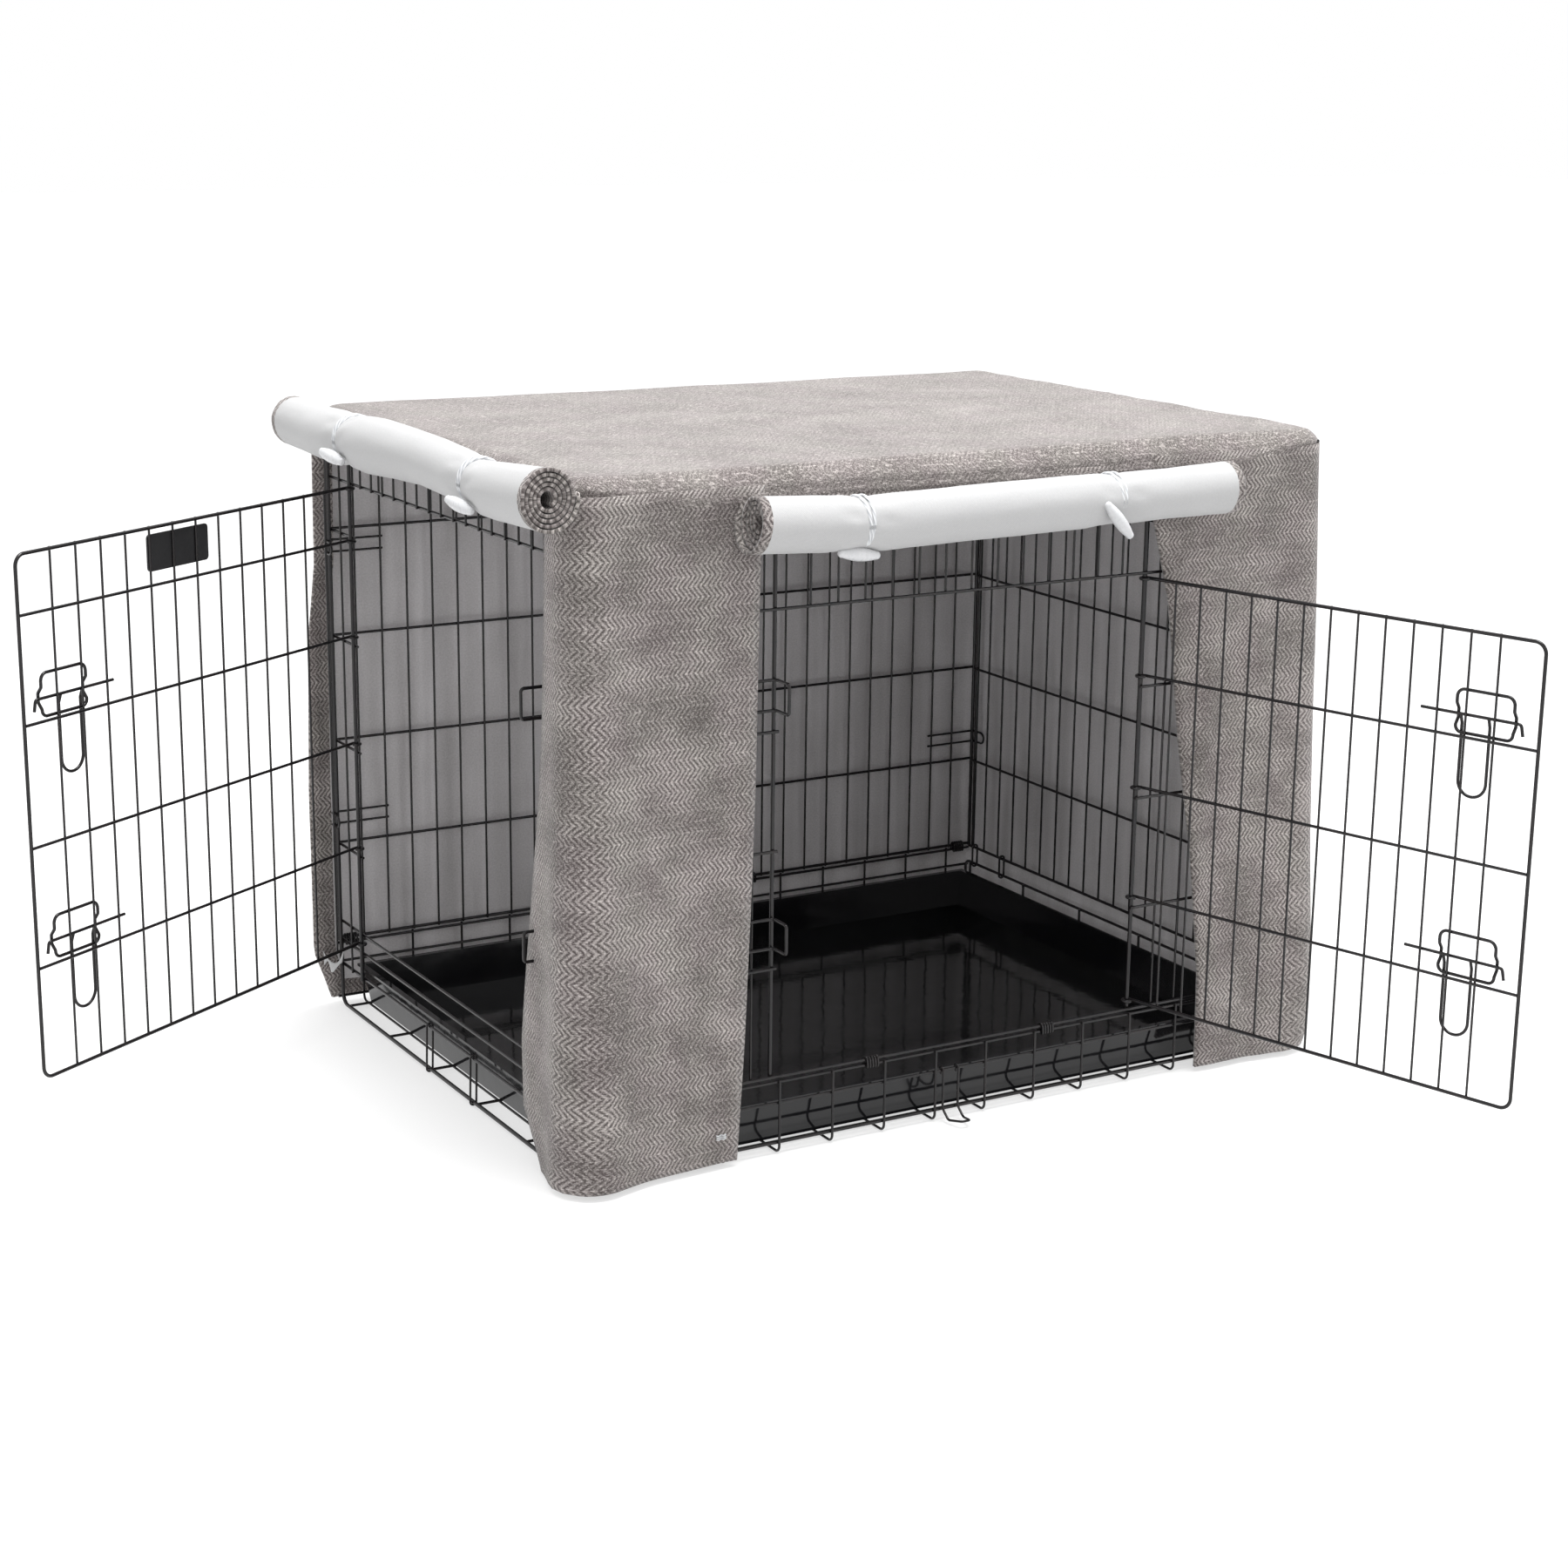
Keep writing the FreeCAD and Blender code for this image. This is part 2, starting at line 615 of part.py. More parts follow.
def badge_plate(door):
    """Plain plate with rounded corners on the outside of the end door."""
    s0, s1 = door.width - PLATE_FROM_EDGE[1], door.width - PLATE_FROM_EDGE[0]
    z0, z1 = PLATE_Z
    n = OUTER_FACE
    middle = (s0 + s1) / 2
    corners = [(middle, z0), (s1, z0), (s1, z1), (s0, z1), (s0, z0), (middle, z0)]
    edges = path_edges([door.at(s, n, z) for s, z in corners], 3.0)
    return [Part.Face(Part.Wire(edges)).extrude(door.out * PLATE_THICK)]


# ---------------------------------------------------------------- cover
def cover_top():
    low = COVER_TOP - CLOTH
    return [block((-COVER_X + 0.8, -COVER_Y, low), (COVER_X, COVER_Y, COVER_TOP))]


WALL_TOP = COVER_TOP - CLOTH


def cover_back():
    """The back wall. Its end hem sticks out past the corner, but only below the end roll."""
    y0, y1 = COVER_Y - CLOTH, COVER_Y
    x0 = -COVER_X + CLOTH
    wall = block((x0, y0, HEM), (COVER_X - CLOTH, y1, WALL_TOP))
    hem = block((-COVER_X - BACK_HEM_OVERHANG, y0, HEM), (x0, y1, BACK_HEM_TOP))
    return [wall.fuse(hem).removeSplitter()]


def cover_right_wall():
    return [block((COVER_X - CLOTH, -COVER_Y, HEM), (COVER_X, COVER_Y, WALL_TOP))]


def cover_corner_strip():
    """The narrow wall that wraps the corner between the two doorways, as two flat runs."""
    along = block((-COVER_X, -COVER_Y, HEM), (CORNER_STRIP_EDGE, -COVER_Y + CLOTH, WALL_TOP))
    across = block((-COVER_X, -COVER_Y + CLOTH, HEM), (-COVER_X + CLOTH, END_STRIP_EDGE, WALL_TOP))
    return [along, across]


def cover_front_strip():
    """The wall beside the front door's hinge. Its free edge leans away from the doorway."""
    x0, x1 = FRONT_STRIP_EDGE[0][0], COVER_X - CLOTH
    outline = [(x0, WALL_TOP)] + FRONT_STRIP_EDGE + [(x1, HEM), (x1, WALL_TOP), (x0, WALL_TOP)]
    face = Part.Face(Part.makePolygon([V(x, -COVER_Y, z) for x, z in outline]))
    return [face.extrude(V(0, CLOTH, 0))]


VALANCE_DROP = 26.0


def cover_valances():
    """What hangs above each doorway between the top's seam and the rolled-up flap."""
    z = WALL_TOP - VALANCE_DROP
    gap = 0.3
    over_front = block((CORNER_STRIP_EDGE + gap, -COVER_Y, z),
                       (FRONT_STRIP_EDGE[0][0] - gap, -COVER_Y + CLOTH, WALL_TOP))
    over_end = block((-COVER_X + gap, END_STRIP_EDGE + gap, z),
                     (-COVER_X + CLOTH, COVER_Y - CLOTH - gap, WALL_TOP))
    return [over_front, over_end]


def roll(start, way, length, r, loops):
    """A rolled-up flap, squeezed where its loops hold it. loops are distances along it."""
    points = [(0.0, 0.0), (0.0, r)]
    for at in loops:
        points += [(at - PINCH_HALF, r), (at - 3.0, r - PINCH), (at + 3.0, r - PINCH), (at + PINCH_HALF, r)]
    points += [(length, r), (length, 0.0), (0.0, 0.0)]
    side = V(0, 0, 1)
    profile = Part.Face(Part.makePolygon([start + way * a + side * b for a, b in points]))
    return profile.revolve(start, way, 360)


def end_roll():
    y0, y1 = END_ROLL_SPAN
    loops = [y - y0 for y in END_LOOPS]
    return [roll(V(END_ROLL_AT, y0, END_ROLL_Z), V(0, 1, 0), y1 - y0, END_ROLL_R, loops)]


def front_roll():
    x0, x1 = FRONT_ROLL_SPAN
    loops = [x - x0 for x in FRONT_LOOPS]
    return [roll(V(x0, FRONT_ROLL_AT, FRONT_ROLL_Z), V(1, 0, 0), x1 - x0, FRONT_ROLL_R, loops)]


def roll_loops(centres, way, r):
    inner = r - PINCH + 0.2
    return [Part.makeTorus(inner + LOOP_WIRE / 2, LOOP_WIRE / 2, c, way) for c in centres]


def toggle(centre, way):
    """A turned toggle: a fat waist and round ends."""
    half = TOGGLE_LENGTH / 2
    side = V(0, 0, 1) if abs(way.z) < 0.9 else V(1, 0, 0)
    side = (side - way * side.dot(way)).normalize()
    end_r = TOGGLE_R * 0.62

    def at(a, b):
        return centre + way * a + side * b

    tip = 1.2
    edges = [
        Part.LineSegment(at(-half, 0), at(half, 0)).toShape(),
        Part.LineSegment(at(half, 0), at(half, tip)).toShape(),
        Part.Arc(at(half, tip), at(half - end_r * 0.35, end_r * 0.85), at(half - end_r, end_r)).toShape(),
        Part.Arc(at(half - end_r, end_r), at(0, TOGGLE_R), at(-half + end_r, end_r)).toShape(),
        Part.Arc(at(-half + end_r, end_r), at(-half + end_r * 0.35, end_r * 0.85), at(-half, tip)).toShape(),
        Part.LineSegment(at(-half, tip), at(-half, 0)).toShape(),
    ]
    return Part.Face(Part.Wire(edges)).revolve(centre, way, 360)


def end_loop_places():
    return [V(END_ROLL_AT, y, END_ROLL_Z) for y in END_LOOPS]


def front_loop_places():
    return [V(x, FRONT_ROLL_AT, FRONT_ROLL_Z) for x in FRONT_LOOPS]


def end_toggles():
    """Each hangs low on the outer face of its roll, nearly level."""
    way = V(0.13, -0.97, -0.15).normalize()
    beside_loop = 10.0
    near, far = [y - beside_loop for y in END_LOOPS]
    low_on_roll, high_on_roll = (-19.6, -15.4), (-22.6, -10.3)
    return [toggle(V(END_ROLL_AT + out, y, END_ROLL_Z + up), way)
            for y, (out, up) in ((near, low_on_roll), (far, high_on_roll))]


def front_toggles():
    """One lies level under the roll. The other hangs on its face with one end down."""
    near, far = FRONT_LOOPS
    under = V(near - 5.0, FRONT_ROLL_AT - 8.6, FRONT_ROLL_Z - 23.0)
    hanging = V(far - 8.0, FRONT_ROLL_AT - 21.4, FRONT_ROLL_Z - 12.7)
    return [toggle(under, V(0.99, 0, -0.12).normalize()),
            toggle(hanging, V(0.6, -0.15, -0.78).normalize())]


STRAP_WIDTH, STRAP_THICK = 12.0, 1.0


def tie_strap():
    """A short white ribbon that ties the cover's lower back edge to the corner of the wires."""
    x, z = -COVER_X + CLOTH, 31.0
    y = COVER_Y - CLOTH - 0.3
    return [block((x - STRAP_THICK, y - 29.0, z), (x, y, z + STRAP_WIDTH))]


# ---------------------------------------------------------------- write the parts
FRONT, END = front_door(), end_door()
NODES = {
    "base_rails": base_rails(),
    "base_cross_wires": base_cross_wires(),
    "base_floor_wires": base_floor_wires(),
    "base_end_rail": base_end_rail(),
    "base_upstand_rail": base_upstand_rail(),
    "base_hinge_clips": base_hinge_clips(),
    "front_panel": front_panel(),
    "front_corner_hooks": corner_hooks(front, -1),
    "front_keepers": front_keepers(),
    "back_panel": back_panel(),
    "back_corner_hooks": corner_hooks(back, 1),
    "left_end_panel": left_end_panel(),
    "left_end_straps": left_end_straps(),
    "end_keepers": end_keepers(),
    "right_end_panel": right_end_panel(),
    "right_end_links": right_end_links(),
    "top_panel": top_panel(),
    "top_hinge_clips": top_hinge_clips(),
    "fold_lock_hook": fold_lock_hook(),
    "tray": tray(),
    "front_door": FRONT.grille(),
    "end_door": END.grille(),
    "badge_plate": badge_plate(END),
    "cover_top": cover_top(),
    "cover_back": cover_back(),
    "cover_right_wall": cover_right_wall(),
    "cover_corner_strip": cover_corner_strip(),
    "cover_front_strip": cover_front_strip(),
    "cover_valances": cover_valances(),
    "end_roll": end_roll(),
    "front_roll": front_roll(),
    "end_roll_loops": roll_loops(end_loop_places(), V(0, 1, 0), END_ROLL_R),
    "front_roll_loops": roll_loops(front_loop_places(), V(1, 0, 0), FRONT_ROLL_R),
    "end_roll_toggles": end_toggles(),
    "front_roll_toggles": front_toggles(),
    "cover_tie_strap": tie_strap(),
}
for prefix, door in (("front", FRONT), ("end", END)):
    for level, row in LATCH_ROWS.items():
        NODES[f"{prefix}_{level}_latch_ring"] = door.ring(row)
        NODES[f"{prefix}_{level}_latch_bar"] = door.bar(row)
        NODES[f"{prefix}_{level}_latch_handle"] = door.handle(row)

for name, solids in NODES.items():
    save(name, solids)
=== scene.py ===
import bpy
import json
import math
import numpy as np
from mathutils import Matrix, Vector, noise


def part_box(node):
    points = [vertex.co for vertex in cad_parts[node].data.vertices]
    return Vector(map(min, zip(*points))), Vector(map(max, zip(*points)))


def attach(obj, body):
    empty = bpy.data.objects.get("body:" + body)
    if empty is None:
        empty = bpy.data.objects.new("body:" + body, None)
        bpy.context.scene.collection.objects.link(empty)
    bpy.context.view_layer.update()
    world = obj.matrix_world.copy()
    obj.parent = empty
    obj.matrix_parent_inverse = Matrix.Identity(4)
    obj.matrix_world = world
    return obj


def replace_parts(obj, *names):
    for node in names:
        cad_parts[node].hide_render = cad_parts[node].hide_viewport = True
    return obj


# A folding wire dog crate with a fitted cover. Metres, +Z up, front door towards -Y, end door towards -X.
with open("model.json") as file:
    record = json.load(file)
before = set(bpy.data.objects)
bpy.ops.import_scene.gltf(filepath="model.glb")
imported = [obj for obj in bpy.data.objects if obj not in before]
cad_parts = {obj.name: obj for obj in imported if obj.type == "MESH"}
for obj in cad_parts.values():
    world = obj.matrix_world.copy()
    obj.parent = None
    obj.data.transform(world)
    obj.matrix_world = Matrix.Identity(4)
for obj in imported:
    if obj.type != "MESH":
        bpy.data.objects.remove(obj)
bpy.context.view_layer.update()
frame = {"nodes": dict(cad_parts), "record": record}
NODES = frame["nodes"]
SCENE = bpy.context.scene


# ------------------------------------------------------------------ camera, light and floor
def camera():
    azimuth, elevation, roll = math.radians(-30.39), math.radians(14.42), math.radians(0.68)
    back = Vector((math.sin(azimuth) * math.cos(elevation), -math.cos(azimuth) * math.cos(elevation),
                   math.sin(elevation)))
    side = (-back).cross(Vector((0, 0, 1))).normalized()
    up = side.cross(-back)
    right = side * math.cos(roll) + up * math.sin(roll)
    up = up * math.cos(roll) - side * math.sin(roll)
    data = bpy.data.cameras.new("camera")
    data.sensor_width, data.lens = 36.0, 64.3
    data.clip_start, data.clip_end = 0.05, 100.0
    obj = bpy.data.objects.new("camera", data)
    turn = Matrix((right, up, back)).transposed().to_4x4()
    obj.matrix_world = Matrix.Translation((-1.0816, -1.8097, 0.7407)) @ turn
    SCENE.collection.objects.link(obj)
    SCENE.camera = obj


def area_light(name, place, target, size, watts, colour=(1, 1, 1)):
    data = bpy.data.lights.new(name, "AREA")
    data.shape, data.size, data.energy, data.color = "DISK", size, watts, colour
    obj = bpy.data.objects.new(name, data)
    obj.location = place
    obj.rotation_mode = "QUATERNION"
    obj.rotation_quaternion = (Vector(target) - Vector(place)).to_track_quat("-Z", "Y")
    SCENE.collection.objects.link(obj)


def studio():
    world = bpy.data.worlds.new("studio")
    world.use_nodes = True
    world.node_tree.nodes["Background"].inputs["Color"].default_value = (1, 1, 1, 1)
    world.node_tree.nodes["Background"].inputs["Strength"].default_value = 1.0
    SCENE.world = world
    SCENE.view_settings.view_transform = "Standard"
    area_light("overhead", (0.2, -0.3, 3.2), (0, 0, 0.3), 1.8, 140)
    area_light("front_right", (2.2, -2.6, 1.5), (0, -0.1, 0.3), 1.6, 12)
    area_light("front_left", (-2.6, -1.6, 1.2), (-0.2, 0, 0.25), 1.2, 4)
    mesh = bpy.data.meshes.new("floor")
    reach = 14.0
    mesh.from_pydata([(-reach, -reach, 0), (reach, -reach, 0), (reach, reach, 0), (-reach, reach, 0)], [],
                     [(0, 1, 2, 3)])
    floor = bpy.data.objects.new("floor", mesh)
    SCENE.collection.objects.link(floor)
    floor.data.materials.append(floor_paint())
    floor.location.z = -0.0003


# ------------------------------------------------------------------ materials
class Shader:
    """A material's node tree with short ways to add to it."""

    def __init__(self, name):
        self.material = bpy.data.materials.new(name)
        self.material.use_nodes = True
        self.tree = self.material.node_tree
        self.surface = self.tree.nodes["Principled BSDF"]

    def node(self, kind, values=None, **settings):
        made = self.tree.nodes.new("ShaderNode" + kind)
        for key, value in settings.items():
            setattr(made, key, value)
        for key, value in (values or {}).items():
            self.put(made.inputs[key], value)
        return made

    def put(self, socket, value):
        if isinstance(value, bpy.types.NodeSocket):
            self.tree.links.new(value, socket)
        else:
            socket.default_value = value

    def set(self, **values):
        for key, value in values.items():
            self.put(self.surface.inputs[key.replace("_", " ")], value)

    def math(self, operation, a, b=0.0):
        return self.node("Math", {0: a, 1: b}, operation=operation).outputs[0]

    def mix(self, factor, a, b):
        made = self.node("Mix", data_type="RGBA")
        self.put(made.inputs[0], factor)
        self.put(made.inputs[6], a)
        self.put(made.inputs[7], b)
        return made.outputs[2]

    def noise(self, where, scale, detail=2.0, stretch=(1, 1, 1)):
        made = self.node("Mapping", {"Vector": where, "Scale": stretch})
        return self.node("TexNoise", {"Vector": made.outputs[0], "Scale": scale, "Detail": detail}).outputs[0]

    def span(self, value, low, high, out_low=0.0, out_high=1.0):
        return self.node("MapRange", {"Value": value, "From Min": low, "From Max": high, "To Min": out_low,
                                      "To Max": out_high}).outputs[0]

    def bump(self, height, distance, strength=1.0):
        made = self.node("Bump", {"Height": height, "Distance": distance, "Strength": strength})
        self.put(self.surface.inputs["Normal"], made.outputs[0])

    def place(self):
        return self.node("TexCoord").outputs["Object"]

    def flat(self):
        """The cloth's own flat coordinates, in metres."""
        return self.node("UVMap", uv_map="flat").outputs[0]


def floor_paint():
    s = Shader("floor_paint")
    grain = s.noise(s.place(), 6.0)
    s.set(Base_Color=s.mix(grain, (0.42, 0.42, 0.42, 1), (0.45, 0.45, 0.45, 1)), Roughness=0.9)
    s.set(Emission_Color=(1, 1, 1, 1), Emission_Strength=0.60, Specular_IOR_Level=0.1)
    return s.material


def enamel():
    """Black coat over wire: thin, glossy, with a faint pebble and browner thin spots."""
    s = Shader("black_enamel")
    where = s.place()
    wear = s.noise(where, 60.0, 4.0)
    s.set(Base_Color=s.mix(s.span(wear, 0.35, 0.75), (0.005, 0.005, 0.006, 1), (0.012, 0.009, 0.009, 1)))
    s.set(Roughness=s.span(s.noise(where, 240.0, 3.0), 0.3, 0.7, 0.14, 0.28))
    s.set(Specular_IOR_Level=0.38)
    s.bump(s.noise(where, 1400.0, 2.0), 0.00012, 0.5)
    return s.material


def tray_plastic():
    """Glossy black moulding with a faint orange-peel and dust-dulled patches."""
    s = Shader("tray_plastic")
    where = s.place()
    s.set(Base_Color=s.mix(s.noise(where, 9.0, 3.0), (0.004, 0.004, 0.005, 1), (0.009, 0.009, 0.010, 1)))
    s.set(Roughness=s.span(s.noise(where, 18.0, 5.0), 0.3, 0.75, 0.05, 0.13))
    s.bump(s.noise(where, 45.0, 2.0), 0.0006, 0.25)
    return s.material


def plate_plastic():
    s = Shader("plate_plastic")
    where = s.place()
    s.set(Base_Color=s.mix(s.noise(where, 40.0, 3.0), (0.010, 0.010, 0.011, 1), (0.018, 0.018, 0.019, 1)))
    s.set(Roughness=s.span(s.noise(where, 300.0, 3.0), 0.3, 0.7, 0.34, 0.5))
    s.bump(s.noise(where, 2500.0), 0.00008, 0.5)
    return s.material


STRIPE, FLIP = 0.0036, 0.0072       # yarn stripe spacing, and the height at which the stripes turn back
SLANT = 0.8


def chenille(name, chevrons=1.0):
    """Heathered grey-brown cloth: yarn stripes that turn back as chevrons, pale slubs and soft patches."""
    s = Shader(name)
    flat = s.flat()
    parts = s.node("SeparateXYZ", {0: flat})
    across, up = parts.outputs[0], parts.outputs[1]
    wobble = s.math("MULTIPLY", s.noise(flat, 160.0, 2.0), 0.0016)
    turn_back = s.math("PINGPONG", up, FLIP)
    slant = s.math("MULTIPLY", turn_back, SLANT)
    wave = s.math("MULTIPLY", s.math("ADD", s.math("ADD", across, slant), wobble), 2 * math.pi / STRIPE)
    ribs = s.span(s.math("SINE", wave), -1, 1)
    knots = s.math("ADD", s.span(turn_back, 0.0009, 0.0), s.span(turn_back, FLIP - 0.0010, FLIP))
    knots = s.math("MULTIPLY", knots, s.span(s.noise(flat, 520.0, 2.0), 0.45, 0.65))
    dull = s.span(s.noise(flat, 26.0, 3.0), 0.35, 0.62, 0.35, 1.0)
    rough_edge = s.noise(flat, 900.0, 3.0)
    slubs = s.span(s.noise(flat, 330.0, 3.0, (0.6, 1.8, 1)), 0.52, 0.66)
    flecks = s.span(s.noise(flat, 1050.0, 2.0), 0.50, 0.66)
    cloud = s.span(s.noise(flat, 11.0, 4.0, (1, 1.4, 1)), 0.30, 0.72)
    yarn = s.math("MULTIPLY", ribs, s.span(rough_edge, 0.25, 0.75, 0.35, 1.0))
    tone = s.math("MULTIPLY", s.math("MULTIPLY", yarn, dull), 0.66 * chevrons)
    tone = s.math("ADD", tone, s.math("MULTIPLY", knots, 0.22 * chevrons))
    tone = s.math("ADD", tone, s.math("MULTIPLY", slubs, 0.34 - 0.20 * chevrons))
    tone = s.math("ADD", tone, s.math("MULTIPLY", flecks, 0.34))
    tone = s.math("ADD", tone, s.math("MULTIPLY", cloud, 0.10))
    tone = s.math("ADD", tone, 0.12 * (1 - chevrons))
    tint = s.span(s.noise(flat, 34.0, 2.0, (1, 0.5, 1)), 0.4, 0.6)
    dark = s.mix(tint, (0.072, 0.059, 0.058, 1), (0.069, 0.060, 0.056, 1))
    light = s.mix(tint, (0.60, 0.55, 0.53, 1), (0.59, 0.55, 0.52, 1))
    s.set(Base_Color=s.mix(s.span(tone, 0.10, 1.02), dark, light), Roughness=0.92)
    s.set(Sheen_Weight=0.25, Sheen_Roughness=0.5, Specular_IOR_Level=0.15)
    height = s.math("ADD", s.math("MULTIPLY", yarn, 0.7), s.math("MULTIPLY", rough_edge, 0.5))
    s.bump(height, 0.0007, 0.7 * chevrons + 0.15)
    return s.material


THREAD = 0.0011


def plain_weave(name, low, high, patches_and_wrinkle_shade=0.05):
    """Fine smooth lining cloth, with soft patches and upright streaks of painted wrinkle light and shade."""
    s = Shader(name)
    flat = s.flat()
    parts = s.node("SeparateXYZ", {0: flat})
    warp = s.math("SINE", s.math("MULTIPLY", parts.outputs[0], 2 * math.pi / THREAD))
    weft = s.math("SINE", s.math("MULTIPLY", parts.outputs[1], 2 * math.pi / THREAD))
    thread = s.span(s.math("MULTIPLY", warp, weft), -1, 1)
    cloud = s.span(s.noise(flat, 14.0, 4.0), 0.3, 0.7, 0.0, patches_and_wrinkle_shade)
    # upright streaks lighter and darker than the cloth: painted light and shade standing in for wrinkles; the
    # last argument sets both the random soft patches and how strong this painted shade is
    wrinkle_shade = s.span(s.noise(flat, 42.0, 3.0, (1, 0.07, 1)), 0.3, 0.7, -patches_and_wrinkle_shade, patches_and_wrinkle_shade)
    grain = s.span(s.noise(flat, 700.0, 3.0), 0.3, 0.7, 0.2, 0.6)
    blend = s.math("ADD", grain, s.math("ADD", cloud, wrinkle_shade))
    s.set(Base_Color=s.mix(blend, low, high), Roughness=0.85, Sheen_Weight=0.15)
    s.bump(s.math("ADD", thread, s.noise(flat, 500.0, 3.0)), 0.00022, 0.5)
    return s.material


def braid():
    """White cord: fine twisted strands."""
    s = Shader("white_braid")
    flat = s.flat()
    parts = s.node("SeparateXYZ", {0: flat})
    lengthways = s.math("MULTIPLY", parts.outputs[0], 900.0)
    turn = s.math("ADD", lengthways, s.math("MULTIPLY", parts.outputs[1], 2400.0))
    strand = s.span(s.math("SINE", turn), -1, 1)
    s.set(Base_Color=s.mix(strand, (0.40, 0.41, 0.43, 1), (0.66, 0.67, 0.68, 1)), Roughness=0.8)
    s.bump(strand, 0.0003, 0.8)
    return s.material


def toggle_plastic():
    s = Shader("toggle_plastic")
    where = s.place()
    s.set(Base_Color=s.mix(s.noise(where, 90.0, 3.0), (0.48, 0.49, 0.50, 1), (0.56, 0.56, 0.57, 1)))
    s.set(Roughness=s.span(s.noise(where, 400.0, 2.0), 0.3, 0.7, 0.22, 0.36))
    s.bump(s.noise(where, 200.0, 2.0), 0.0003, 0.4)
    return s.material


# ------------------------------------------------------------------ mesh helpers
def smoothstep(a, b, x):
    t = np.clip((np.asarray(x, float) - a) / (b - a), 0, 1)
    return t * t * (3 - 2 * t)


def piece(name, points, faces, materials, which=None, uvs=None, smooth=True):
    mesh = bpy.data.meshes.new(name)
    mesh.from_pydata([tuple(map(float, p)) for p in points], [], faces)
    for m in materials:
        mesh.materials.append(m)
    if which is not None:
        mesh.polygons.foreach_set("material_index", which)
    if uvs is not None:
        layer = mesh.uv_layers.new(name="flat")
        order = np.zeros(len(mesh.loops), int)
        mesh.loops.foreach_get("vertex_index", order)
        layer.data.foreach_set("uv", np.asarray(uvs, float)[order].ravel())
    if smooth:
        mesh.polygons.foreach_set("use_smooth", [True] * len(mesh.polygons))
    mesh.validate()
    mesh.update()
    obj = bpy.data.objects.new(name, mesh)
    SCENE.collection.objects.link(obj)
    return obj


def grid_normals(grid):
    a = np.gradient(grid, axis=0)
    b = np.gradient(grid, axis=1)
    n = np.cross(a, b)
    return n / np.maximum(np.linalg.norm(n, axis=2, keepdims=True), 1e-12)


def cloth(name, grid, flat, thick, outside, inside, flip=False, swap=None):
    """A thin closed sheet. grid holds its outer face's points by row and column, flat the same points' places
    on the flat cloth. swap marks the inner quads that take the outer cloth, as where a hem folds over."""
    rows, columns = grid.shape[:2]
    normal = grid_normals(grid) * (-1 if flip else 1)
    thickness = thick if np.isscalar(thick) else thick[..., None]
    inner = grid - normal * thickness
    points = np.concatenate([grid.reshape(-1, 3), inner.reshape(-1, 3)])
    uvs = np.concatenate([flat.reshape(-1, 2)] * 2)
    count = rows * columns

    def at(r, c):
        return r * columns + c

    faces, which = [], []
    for r in range(rows - 1):
        for c in range(columns - 1):
            quad = [at(r, c), at(r + 1, c), at(r + 1, c + 1), at(r, c + 1)]
            if flip:
                quad.reverse()
            faces.append(quad)
            which.append(0)
            faces.append([count + q for q in reversed(quad)])
            which.append(0 if swap is not None and swap[r, c] else 1)
    loop = [at(0, c) for c in range(columns)] + [at(r, columns - 1) for r in range(1, rows)]
    loop += [at(rows - 1, c) for c in range(columns - 2, -1, -1)] + [at(r, 0) for r in range(rows - 2, 0, -1)]
    for a, b in zip(loop, loop[1:] + loop[:1]):
        edge = [a, b, count + b, count + a]
        if flip:
            edge.reverse()
        faces.append(edge)
        which.append(0)
    return piece(name, points, faces, [outside, inside], which, uvs)


def tube(name, path, radius, material, sides=10, closed=False, body="crate", flat_ratio=1.0):
    """A round wire or cord along a path."""
    path = np.asarray(path, float)
    n = len(path)
    if closed:
        tangent = np.roll(path, -1, 0) - np.roll(path, 1, 0)
    else:
        tangent = np.gradient(path, axis=0)
    tangent /= np.linalg.norm(tangent, axis=1, keepdims=True)
    side = np.cross(tangent[0], (0.13, 0.27, 0.95))
    side /= np.linalg.norm(side)
    points, uvs, run = [], [], 0.0
    for i in range(n):
        side = side - tangent[i] * side.dot(tangent[i])
        side /= np.linalg.norm(side)
        other = np.cross(tangent[i], side)
        run += 0 if i == 0 else np.linalg.norm(path[i] - path[i - 1])
        r = radius[i] if hasattr(radius, "__len__") else radius
        for k in range(sides):
            a = 2 * math.pi * k / sides
            points.append(path[i] + r * (math.cos(a) * side + flat_ratio * math.sin(a) * other))
            uvs.append((run, r * a))
    faces = []
    for i in range(n if closed else n - 1):
        j = (i + 1) % n
        for k in range(sides):
            m = (k + 1) % sides
            faces.append([i * sides + k, i * sides + m, j * sides + m, j * sides + k])
    if not closed:
        faces.append(list(range(sides))[::-1])
        faces.append([(n - 1) * sides + k for k in range(sides)])
    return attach(piece(name, points, faces, [material], None, uvs), body)


def fold(u, v, scale, seed):
    """Smooth repeatable noise from -1 to 1."""
    return noise.noise(Vector((u * scale, v * scale, seed)))


# ------------------------------------------------------------------ cover
HEATHER = chenille("heather_cloth")
HEATHER_TOP = chenille("heather_top_cloth", 0.3)
# One lining cloth in two copies whose brightness is set apart for how light falls: the copy for the inside
# faces is lighter, painted light against the shade inside the crate; the pale copy for the rolls and the
# ribbon is darker, painted shade against the strong light on the rolls. The inside copy's last number also
# sets how strong its painted wrinkle shade is.
INSIDE_LINING_PAINTED_LIGHTER = plain_weave("inside_lining_painted_lighter", (0.36, 0.345, 0.345, 1), (0.62, 0.60, 0.61, 1), 0.28)
PALE_CLOTH_PAINTED_DARKER = plain_weave("pale_cloth_painted_darker", (0.37, 0.37, 0.375, 1), (0.44, 0.44, 0.44, 1))
CORD = braid()
CLOTH, ROLL_CLOTH = 0.0022, 0.0023
TOP_Z = 0.4842
WALL_X, WALL_Y = 0.3102, 0.2277
CORNER = 0.020
HEM = 0.0035


